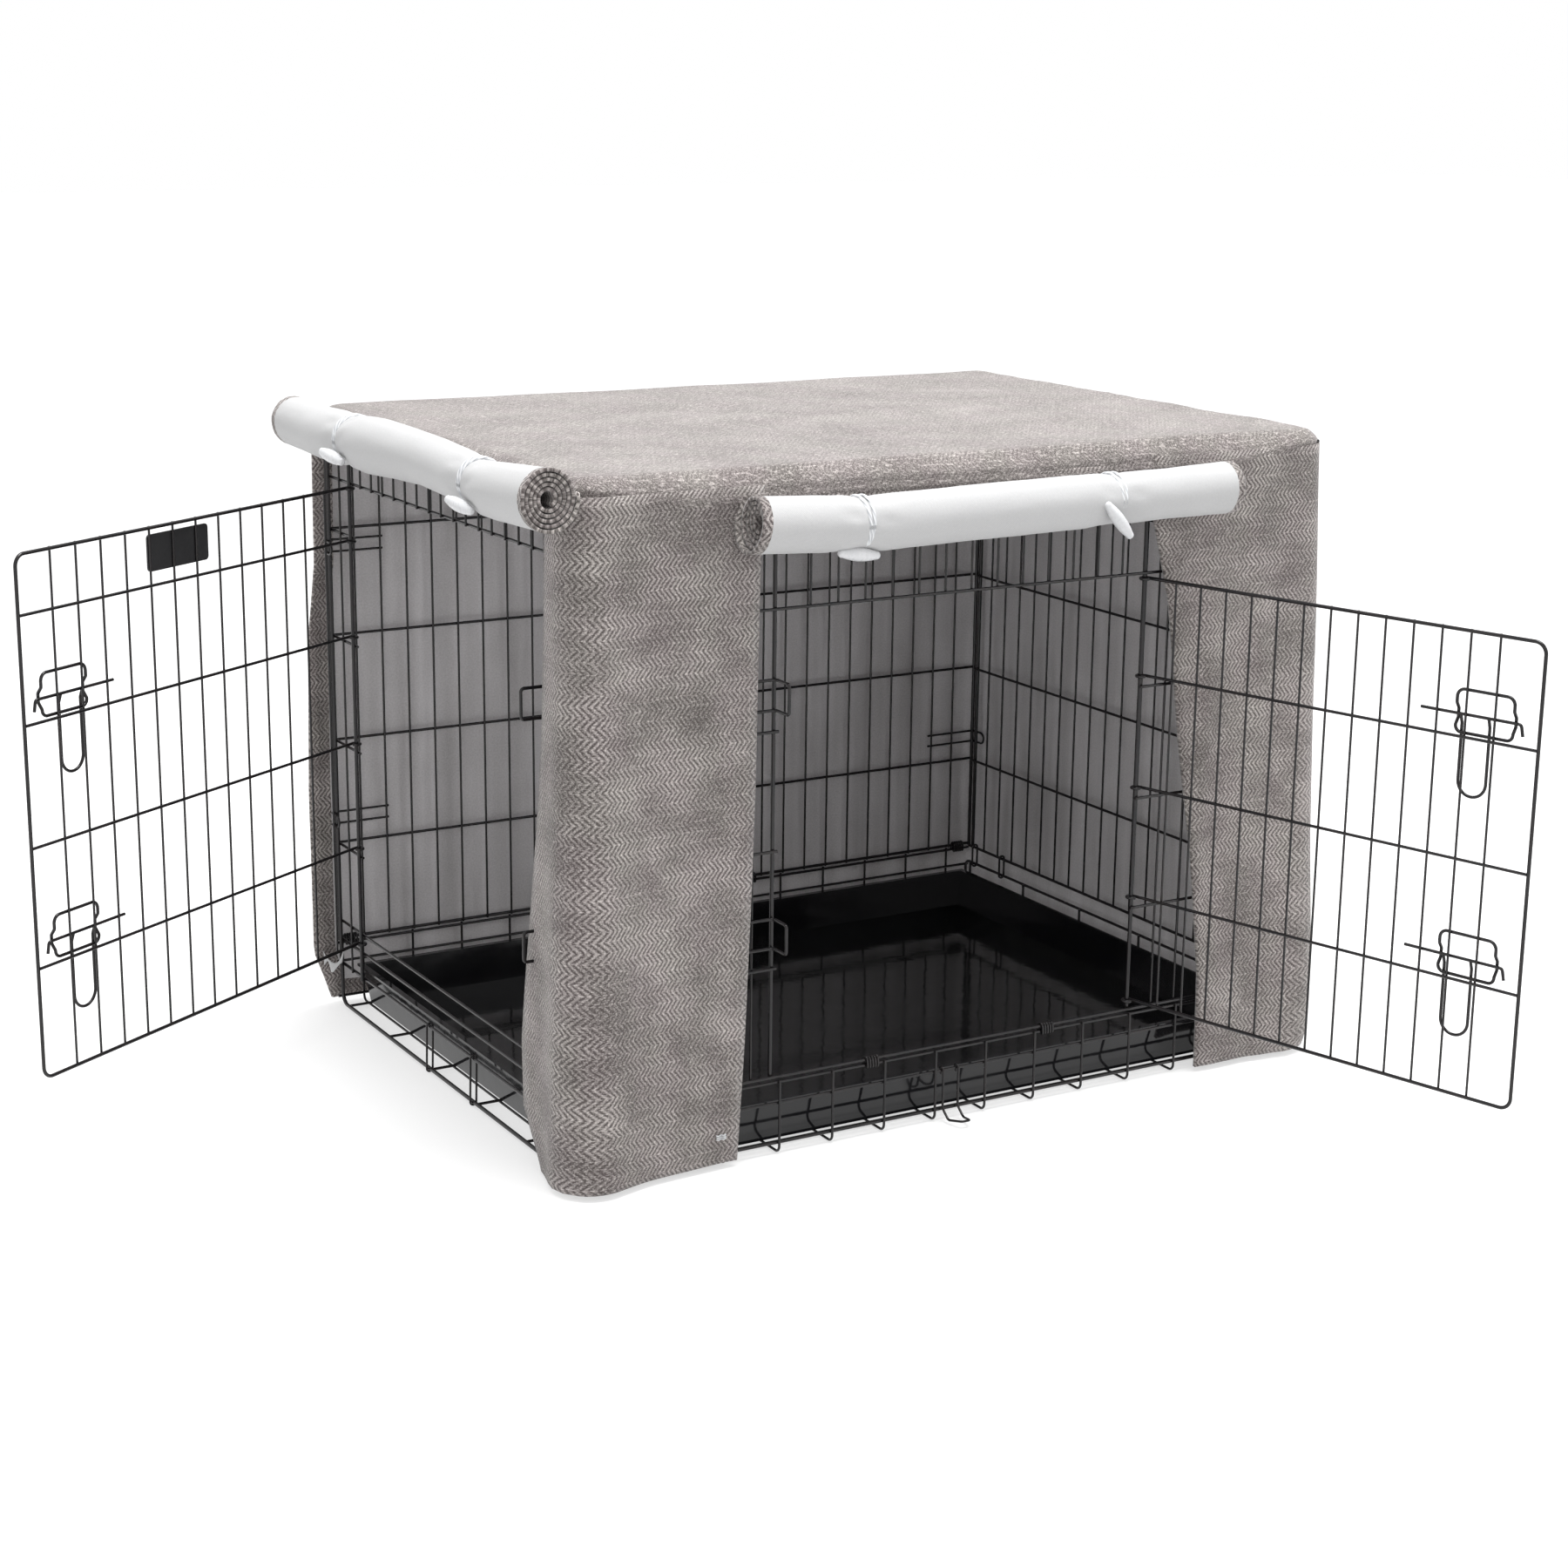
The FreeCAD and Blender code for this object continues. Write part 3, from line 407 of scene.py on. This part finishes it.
def top_cloth():
    """The top: nearly flat, with a rounded edge that sags between the corners, and a welt along its seam."""
    flat_middle = CORNER + 0.004
    reach_x, reach_y = WALL_X + 0.0008, WALL_Y + 0.0008
    edge = [0, 0.006, 0.012, 0.016, 0.019, 0.0215, 0.024, 0.0265, 0.029, 0.0315, 0.034, 0.0365, 0.039, 0.0415]
    arc = 0.013

    def lines(half, step):
        core = np.linspace(-(half - flat_middle), half - flat_middle, int(2 * half / step))
        outer = half - flat_middle + np.array(edge[1:])
        return np.concatenate([-outer[::-1], core, outer])

    xs, ys = lines(reach_x, 0.011), lines(reach_y, 0.011)
    flat = np.stack(np.meshgrid(xs, ys, indexing="ij"), axis=2)
    grid = np.zeros(flat.shape[:2] + (3,))
    start = flat_middle - arc
    for i, x in enumerate(xs):
        for j, y in enumerate(ys):
            cx = min(max(x, -(reach_x - flat_middle)), reach_x - flat_middle)
            cy = min(max(y, -(reach_y - flat_middle)), reach_y - flat_middle)
            v = np.array((x - cx, y - cy))
            d = max(abs(v[0]), abs(v[1]))
            along_x = abs(v[1]) >= abs(v[0])
            way = v / np.linalg.norm(v) if d > 0 else v
            if d <= start:
                out, down = d, 0.0
            elif d <= start + arc * math.pi / 2:
                a = (d - start) / arc
                out, down = start + arc * math.sin(a), arc * (1 - math.cos(a))
            else:
                out, down = start + arc, arc + d - start - arc * math.pi / 2
            along = 1 - abs(x) / reach_x if along_x else 1 - abs(y) / reach_y
            mid = float(smoothstep(0.02, 0.34, along))
            seam = 0.0075 + 0.0085 * mid
            out += 0.0013 * math.exp(-(((down - seam) / 0.0020) ** 2))
            out -= 0.0008 * math.exp(-(((down - seam + 0.0042) / 0.0018) ** 2)) * mid
            sag = 0.0040 * mid * float(smoothstep(0.010, 0.022, d))
            wave = 0.0009 * fold(x, y * 2.3, 7.0, 3.1) + 0.0006 * fold(x * 0.5, y * 2.4, 21.0, 7.7)
            wave += 0.0004 * fold(x * 0.6, y * 3.0, 45.0, 1.3)
            settle = smoothstep(0.0, 0.03, d)
            z = TOP_Z + 0.0008 + wave * (1 - 0.35 * settle) - down - sag
            z += 0.0009 * fold(x, y, 16.0, 9.4) * settle
            side_wave = 0.0009 * fold(x, y, 24.0, 5.5) * smoothstep(start, start + 0.012, d)
            out += max(side_wave, -0.0003)
            grid[i, j] = (cx + way[0] * out, cy + way[1] * out, z)
    obj = cloth("cover_top_cloth", grid, flat, CLOTH, HEATHER_TOP, INSIDE_LINING_PAINTED_LIGHTER)
    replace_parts(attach(obj, "crate"), "cover_top")


def plan_path(legs, radius):
    """Points, outward normals and run along a plan path with rounded corners."""
    pts, out = [], []
    legs = [np.array(p, float) for p in legs]
    here = legs[0]
    for before, corner, after in zip(legs, legs[1:-1], legs[2:]):
        a, b = corner - before, after - corner
        a, b = a / np.linalg.norm(a), b / np.linalg.norm(b)
        start, end = corner - a * radius, corner + b * radius
        steps = max(2, int(np.linalg.norm(start - here) / 0.009))
        for k in range(steps):
            pts.append(here + (start - here) * k / steps)
            out.append(np.array((a[1], -a[0])))
        centre = start + b * radius
        for k in range(8):
            t = math.pi / 2 * k / 8
            pts.append(centre - b * radius * math.cos(t) + a * radius * math.sin(t))
            n = np.array((a[1], -a[0])) * math.cos(t) + np.array((b[1], -b[0])) * math.sin(t)
            out.append(n)
        here = end
    steps = max(2, int(np.linalg.norm(legs[-1] - here) / 0.009))
    last = legs[-1] - legs[-2]
    last /= np.linalg.norm(last)
    for k in range(steps + 1):
        pts.append(here + (legs[-1] - here) * k / steps)
        out.append(np.array((last[1], -last[0])))
    pts, out = np.array(pts), np.array(out)
    run = np.concatenate([[0], np.cumsum(np.linalg.norm(np.diff(pts, axis=0), axis=1))])
    return pts, out, run


def heights(top):
    low = [HEM + 0.0035 * k for k in range(5)]
    return np.concatenate([low, np.linspace(low[-1] + 0.007, top, 52)])


WALL_HEAD = 0.4735
EDGE_REACH = 0.13                   # a free edge's lean dies out over this much of the wall
LIFT = 0.0003                       # keeps the walls off the wires


def wall_cloth(name, legs, starts, ends, folds, replaced):
    """A hanging wall. starts and ends give where its two free edges stand at each height, as distances from
    the first and last corner of legs."""
    pts, out, run = plan_path(legs, CORNER)
    zs = heights(WALL_HEAD)
    grid = np.zeros((len(run), len(zs), 3))
    flat = np.zeros((len(run), len(zs), 2))
    total = run[-1]
    thick = np.full(grid.shape[:2], CLOTH)
    for j, z in enumerate(zs):
        first, last = starts(z), total - ends(z)
        pull = np.clip(1 - run / EDGE_REACH, 0, 1)
        push = np.clip(1 - (total - run) / EDGE_REACH, 0, 1)
        at = run + first * pull + (last - total) * push
        x = np.interp(at, run, pts[:, 0])
        y = np.interp(at, run, pts[:, 1])
        nx, ny = np.interp(at, run, out[:, 0]), np.interp(at, run, out[:, 1])
        amount = folds(at, z)
        grid[:, j, 0] = x + nx * amount
        grid[:, j, 1] = y + ny * amount
        grid[:, j, 2] = z
        flat[:, j, 0], flat[:, j, 1] = at, z
        to_edge = np.maximum(np.minimum(at - first, last - at), 0)
        hem = np.exp(-to_edge / 0.006)
        thick[:, j] = CLOTH + 0.0007 * np.maximum(hem, math.exp(-(z - HEM) / 0.008))
        grid[:, j, 2] += 0.0035 * (1 - smoothstep(HEM, HEM + 0.05, z)) * np.array(
            [0.6 * fold(a, 0.3, 17.0, 2.2) + 0.2 for a in at])
    turned_in = np.zeros((len(run) - 1, len(zs) - 1), bool)
    turned_in[:, :4] = turned_in[:2] = turned_in[-2:] = True
    obj = cloth(name, grid, flat, thick, HEATHER, INSIDE_LINING_PAINTED_LIGHTER, swap=turned_in)
    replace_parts(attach(obj, "crate"), *replaced)
    return obj


def main_wall():
    """From the front door's side round the right end to the back."""
    edge_z = [0.0, 0.006, 0.08, 0.184, 0.269, 0.368, 0.400, 0.429, 0.48]
    edge_x = [0.2095, 0.2095, 0.208, 0.195, 0.180, 0.1660, 0.158, 0.150, 0.149]
    legs = [(0.149, -WALL_Y), (WALL_X, -WALL_Y), (WALL_X, WALL_Y), (-WALL_X - 0.015, WALL_Y)]

    def starts(z):
        return float(np.interp(z, edge_z, edge_x)) - 0.149

    def ends(z):
        return float(np.interp(z, [0, 0.022, 0.045, 0.18, 0.30, 0.36, 0.48],
                               [0.019, 0.012, 0.004, 0.004, 0.007, 0.014, 0.0145]))

    def folds(at, z):
        hang = 1 - z / WALL_HEAD
        out = np.zeros(len(at))
        for i, a in enumerate(at):
            wide = 0.5 + 0.5 * fold(a, z * 0.16, 19.0, 4.4)
            crease = max(0.0, fold(a, z * 0.10, 46.0, 8.1)) ** 1.3
            fine = max(0.0, fold(a, z * 0.14, 95.0, 5.2))
            slack = 0.0015 + 0.004 * hang
            flare = math.exp(-(((a - 0.185) / 0.065) ** 2)) * hang * (1 - 0.45 * math.exp(-z / 0.010))
            out[i] = wide * slack + crease * 0.0075 * (0.4 + 0.6 * hang) + 0.0145 * flare
            out[i] += 0.0022 * fine * float(smoothstep(0.20, 0.28, a))
        return out + LIFT

    wall_cloth("cover_main_wall", legs, starts, ends, folds,
               ["cover_front_strip", "cover_right_wall", "cover_back"])


def corner_wall():
    """The narrow wall round the corner between the two doorways."""
    back_z = [0.0, 0.004, 0.022, 0.042, 0.089, 0.187, 0.238, 0.307, 0.372, 0.430, 0.48]
    back_y = [0.184, 0.181, 0.166, 0.152, 0.150, 0.164, 0.171, 0.181, 0.1855, 0.188, 0.190]
    front_z = [0.0, 0.088, 0.181, 0.272, 0.358, 0.414, 0.48]
    front_x = [0.189, 0.1835, 0.1795, 0.1765, 0.175, 0.174, 0.171]
    legs = [(-WALL_X, -0.150), (-WALL_X, -WALL_Y), (-0.171, -WALL_Y)]

    def starts(z):
        return float(np.interp(z, back_z, back_y)) - 0.150

    def ends(z):
        return float(np.interp(z, front_z, front_x)) - 0.171

    def folds(at, z):
        hang = 1 - z / WALL_HEAD
        out = np.zeros(len(at))
        for i, a in enumerate(at):
            corner = math.exp(-(((a - 0.078) / 0.035) ** 2))
            flare = 0.003 * smoothstep(0.30, 0.10, z) * math.exp(-((a / 0.05) ** 2))
            wide = 0.5 + 0.5 * fold(a, z * 0.3, 17.0, 6.6)
            out[i] = corner * (0.0045 + 0.009 * hang ** 2) + float(flare) + wide * (0.001 + 0.003 * hang)
            out[i] += 0.0015 * math.exp(-(((z - 0.36) / 0.02) ** 2)) * max(0.0, fold(a, z, 30.0, 1.9))
        return out + LIFT

    wall_cloth("cover_corner_wall", legs, starts, ends, folds, ["cover_corner_strip"])


END_AXIS_X, FRONT_AXIS_Y = -0.332, -0.2474
END_SPAN, FRONT_SPAN = (-0.2365, 0.208), (-0.1865, 0.203)
END_LOOPS, FRONT_LOOPS = (-0.134, 0.083), (-0.110, 0.096)
END_SQUEEZE, FRONT_SQUEEZE = (0.018, 0.14), (0.016, 0.09)   # how wide and how hard a loop pinches its roll


def end_line(t):
    """How the end roll wanders: its height and its radius along it, from 0 at its near end to 1."""
    height = 0.4762 + np.interp(t, [0, 0.18, 0.42, 0.54, 0.86, 1], [0, -0.004, 0.0016, 0.0016, -0.0021, 0])
    radius = np.interp(t, [0, 0.2, 0.42, 0.62, 0.8, 1], [0.0197, 0.0174, 0.0168, 0.0194, 0.0182, 0.0174])
    return float(height), float(radius)


def front_line(t):
    """The same for the front roll, from 0 at its left end."""
    height = 0.4498 + np.interp(t, [0, 0.1, 0.22, 0.4, 0.65, 1],
                                [0.0022, 0, -0.0026, -0.0015, 0.0002, 0.0018])
    radius = np.interp(t, [0, 0.7, 0.86, 1], [0.0180, 0.0178, 0.0166, 0.0175])
    return float(height), float(radius)


def rolled_flap(name, origin, way, out, span, line, drop_from, turns, loops, squeeze, slip,
                replaced):
    """A door flap rolled up outwards from its lower edge. way runs along the roll, out points away from the
    crate. slip is how far the outer turns stand out past the inner ones at the near end."""
    length = span[1] - span[0]
    ends = np.array([0, 0.0012, 0.0026, 0.0042, 0.0058])
    middle = np.linspace(0.009, length - 0.009, 110)
    along = np.concatenate([ends, middle, length - ends[::-1]])
    per_turn, tail = 34, 7             # points on each turn, and on the drop above the roll
    pitch = 0.0031
    count = int(per_turn * turns)
    grid = np.zeros((len(along), count + tail + 1, 3))
    flat = np.zeros((len(along), count + tail + 1, 2))
    run = np.zeros(count + tail + 1)
    for i, a in enumerate(along):
        z_mid, radius = line(a / length)
        near = [(a + span[0] - p) / squeeze[0] for p in loops]
        pinch = min(1.0, sum(math.exp(-(q ** 2)) for q in near))
        sides = min(1.0, sum(math.exp(-(((abs(q) - 0.8) / 0.45) ** 2)) for q in near))
        tight = 1 - squeeze[1] * pinch
        swell = 1 + 0.03 * fold(a, 0.2, 16.0, 3.3 + origin[2]) * (1 - pinch)
        lean = 0.0022 * fold(a, 0.0, 9.0, 6.1)
        for k in range(count + 1):
            turn = k / per_turn * 2 * math.pi
            r = radius - pitch * k / per_turn
            pleat = 1 + 0.055 * sides * math.sin(7 * turn + 1.3 + a * 60) * (r / radius)
            ripple = 1 + 0.02 * fold(a, turn * 0.4, 22.0, 2.9) + 0.012 * fold(a, turn * 0.5, 60.0, 7.2)
            rr = r * tight * swell * pleat * ripple
            droop = 1.04 if math.sin(-turn) < 0 else 1.0
            o = -math.cos(turn) * rr * 0.97 + lean
            z = -math.sin(turn) * rr * droop + z_mid
            past = slip * (1 - k / count) ** 1.5 * math.exp(-a / 0.035) * (1 + 0.4 * math.sin(turn * 0.9))
            grid[i, tail + k] = origin + way * (a + span[0] - past) + out * o + np.array((0, 0, z))
        first = grid[i, tail]
        head = origin + way * (a + span[0]) + out * drop_from[0] + np.array((0, 0, drop_from[1]))
        for k in range(tail):
            t = k / tail
            grid[i, k] = head + (first - head) * t + out * 0.0012 * math.sin(math.pi * t)
        if i == 0:
            for k in range(1, count + tail + 1):
                run[k] = run[k - 1] + np.linalg.norm(grid[0, k] - grid[0, k - 1])
        flat[i, :, 0] = a
        flat[i, :, 1] = -run
    swap = np.zeros((len(along) - 1, count + tail), bool)
    swap[:4] = swap[-4:] = swap[:, -6:] = True
    flip = bool(np.cross(out, way)[2] > 0)
    obj = cloth(name, grid, flat, ROLL_CLOTH, HEATHER, PALE_CLOTH_PAINTED_DARKER, flip=flip, swap=swap)
    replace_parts(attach(obj, "crate"), *replaced)


def flaps():
    rolled_flap(
        "end_flap_cloth", np.array((END_AXIS_X, 0.0, 0.0)), np.array((0, 1.0, 0)), np.array((-1.0, 0, 0)),
        END_SPAN, end_line, (-0.0215, 0.4790), 5.2, END_LOOPS, END_SQUEEZE, 0.002,
        ["end_roll", "cover_valances"])
    rolled_flap(
        "front_flap_cloth", np.array((0.0, FRONT_AXIS_Y, 0.0)), np.array((1.0, 0, 0)), np.array((0, -1.0, 0)),
        FRONT_SPAN, front_line, (-0.0200, 0.4705), 4.3, FRONT_LOOPS, FRONT_SQUEEZE, 0.007,
        ["front_roll"])


def ring_path(centre, axis, out, r_out, r_z, shift, points=44, tilt=0.0):
    """A loop round a roll, in the plane across its axis."""
    path = []
    for k in range(points):
        a = 2 * math.pi * k / points
        o, z = math.cos(a) * r_out, math.sin(a) * r_z
        across = np.array(out) * o + np.array((0, 0, z))
        path.append(np.array(centre) + across + np.array(axis) * (shift + tilt * z))
    return path


def loops():
    """Doubled cords round the rolls."""
    sides = [("end", ("near", "far"), (0, 1, 0), (-1, 0, 0),
              END_SPAN, END_LOOPS, END_SQUEEZE, end_line),
             ("front", ("left", "right"), (1, 0, 0), (0, -1, 0),
              FRONT_SPAN, FRONT_LOOPS, FRONT_SQUEEZE, front_line)]
    for side, names, axis, out, span, places, squeeze, line in sides:
        for which, at in zip(names, places):
            z, r = line((at - span[0]) / (span[1] - span[0]))
            r = r * (1 - squeeze[1]) + 0.0006
            centre = (END_AXIS_X, at, z) if side == "end" else (at, FRONT_AXIS_Y, z)
            for k, shift in enumerate((-0.0014, 0.0014)):
                path = ring_path(centre, axis, out, r, r * 1.03, shift, tilt=0.06 * (1 if k else -1))
                obj = tube(f"{side}_{which}_loop_{k}", path, 0.00125, CORD, closed=True, flat_ratio=0.8)
                if k == 0 and at == places[0]:
                    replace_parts(obj, side + "_roll_loops")


def tie_strap():
    """A crumpled white ribbon from the cover's back edge to the corner of the wires."""
    low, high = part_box("cover_tie_strap")
    start = np.array((-0.3150, 0.2245, 0.041))
    end = np.array((low.x + 0.0012, low.y + 0.006, 0.046))
    n, m = 26, 7
    grid, flat = np.zeros((n, m, 3)), np.zeros((n, m, 2))
    for i in range(n):
        t = i / (n - 1)
        mid = start + (end - start) * t
        mid[2] += 0.004 * math.sin(t * 7.0) - 0.004 * math.sin(math.pi * t)
        mid[0] += -0.003 * math.sin(math.pi * t)
        for j in range(m):
            s = (j / (m - 1) - 0.5) * 0.012 * (1 - 0.35 * math.sin(math.pi * t))
            twist = 0.7 * math.sin(t * 6.0)
            grid[i, j] = mid + np.array((-math.sin(twist) * s * 0.7, 0, math.cos(twist) * s))
            flat[i, j] = (t * 0.034, s)
    obj = cloth("tie_ribbon", grid, flat, 0.0006, PALE_CLOTH_PAINTED_DARKER, PALE_CLOTH_PAINTED_DARKER)
    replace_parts(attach(obj, "crate"), "cover_tie_strap")


def bartacks():
    """Short rows of white stitches that close the ends of the hems."""
    for number, (x, z) in enumerate(((-0.2030, 0.0235), (0.2205, 0.035))):
        for row in range(3):
            path = [(x - 0.0038 + 0.0019 * k, -WALL_Y - 0.0042, z + 0.0014 * row + 0.0004 * (-1) ** k)
                    for k in range(5)]
            tube(f"bartack_{number}_{row}", path, 0.00055, CORD, sides=6)


def wound_clips(prefix, node, low, high, places, turns=5, wire=0.00085, gap=0.0001):
    """Hinge clips: hard wire wound round two rails that lie side by side."""
    low, high = np.array(low), np.array(high)
    for side in (-1, 1):
        for number, x in enumerate(places):
            a = np.array((low[0] * side, low[1]))
            b = np.array((high[0] * side, high[1]))
            way = (b - a) / np.linalg.norm(b - a)
            across = np.array((way[1], -way[0]))
            length = np.linalg.norm(b - a)
            r = 0.00125 + gap + wire
            around = 2 * length + 2 * math.pi * r
            path = []
            total = turns * 26
            for k in range(total + 1):
                s = (k / 26.0 % 1.0) * around
                if s < length:
                    p = a + way * s + across * r
                elif s < length + math.pi * r:
                    t = (s - length) / r
                    p = b + across * r * math.cos(t) + way * r * math.sin(t)
                elif s < 2 * length + math.pi * r:
                    p = b - way * (s - length - math.pi * r) - across * r
                else:
                    t = (s - 2 * length - math.pi * r) / r
                    p = a - across * r * math.cos(t) - way * r * math.sin(t)
                path.append((x - 0.0055 + 0.011 * k / total, p[0], p[1]))
            tag = "front" if side < 0 else "back"
            obj = tube(f"{prefix}_{tag}_{number}", path, wire, WIRE, sides=8)
            if side < 0 and number == 0:
                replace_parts(obj, node)


# ------------------------------------------------------------------ build it all
WIRE = enamel()
TRAY = tray_plastic()
PLATE = plate_plastic()
TOGGLE = toggle_plastic()


def dress_cad():
    """Better materials on the CAD pieces that stay."""
    by_slot = {"wire": WIRE, "tray": TRAY, "badge": PLATE, "toggle": TOGGLE}
    slots = {s["node"]: s["material_slot"] for s in frame["record"]["subparts"]}
    for name, obj in NODES.items():
        material = by_slot.get(slots.get(name))
        if material is None:
            continue
        obj.data.materials.clear()
        obj.data.materials.append(material)
        if slots[name] in ("wire", "toggle"):
            obj.data.polygons.foreach_set("use_smooth", [True] * len(obj.data.polygons))
            obj.data.update()


camera()
studio()
dress_cad()
top_cloth()
main_wall()
corner_wall()
flaps()
loops()
tie_strap()
bartacks()
PITCH = 0.607 / 28
wound_clips("base_clip", "base_hinge_clips", (0.2217, 0.053), (0.2217, 0.057),
            [PITCH * k for k in (-13.5, -3.5, 3.5, 13.5)])
wound_clips("top_clip", "top_hinge_clips", (0.2217, 0.475), (0.214, 0.478),
            [PITCH * k for k in (-11.5, -3.5, 3.5, 11.5)])
